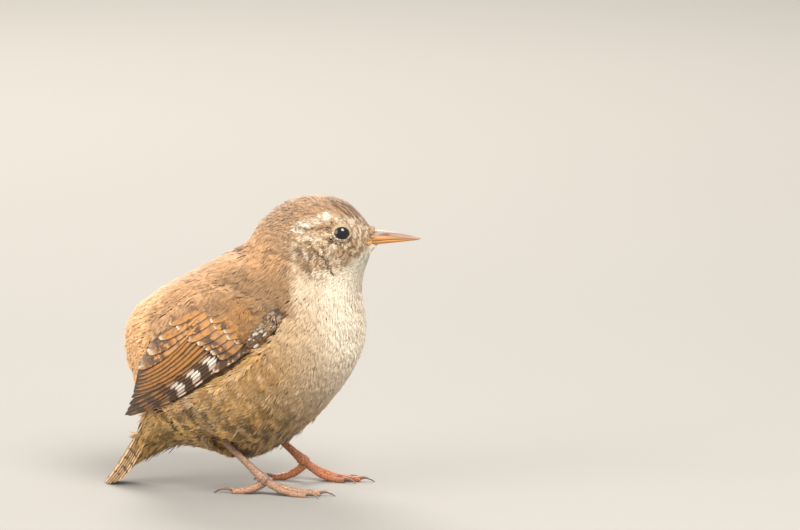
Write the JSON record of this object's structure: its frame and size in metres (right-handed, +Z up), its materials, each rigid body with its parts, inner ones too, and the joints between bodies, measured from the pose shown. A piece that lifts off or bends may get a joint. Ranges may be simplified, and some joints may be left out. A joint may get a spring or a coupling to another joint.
{
  "type": "wren model",
  "caption": "Life-size still model of a fluffed-up brown songbird with a barred wing, slim bill and lowered tail, standing on its feet.",
  "frame": {"origin": "on the floor, under the middle of the model's box", "axes": "+X the way the bird heads, +Y its left side, +Z up"},
  "size_m": [0.0714, 0.0434, 0.0665],
  "materials": {
    "plumage": "soft matt body feathers, buff-brown above and paler below",
    "wing_feathers": "barred rufous-brown flight feathers",
    "tail_feathers": "barred rufous-brown tail feathers",
    "bill_horn": "satin horn, grey along the ridge and orange-yellow below",
    "eye": "polished, near black",
    "leg_scales": "satin scaly skin, pinkish brown",
    "claw_horn": "satin dark horn"
  },
  "bodies": {
    "root": {"head": "plumage", "neck": "plumage", "torso": "plumage", "rump": "plumage", "wing_left": "wing_feathers", "wing_right": "wing_feathers", "tail": "tail_feathers", "bill_upper": "bill_horn", "bill_lower": "bill_horn", "eye_left": "eye", "eye_right": "eye", "tarsus_left": "leg_scales", "tarsus_right": "leg_scales", "foot_left": "leg_scales", "foot_right": "leg_scales", "claw_left_inner": "claw_horn", "claw_left_middle": "claw_horn", "claw_left_outer": "claw_horn", "claw_left_hind": "claw_horn", "claw_right_inner": "claw_horn", "claw_right_middle": "claw_horn", "claw_right_outer": "claw_horn", "claw_right_hind": "claw_horn"}
  },
  "joints": []
}
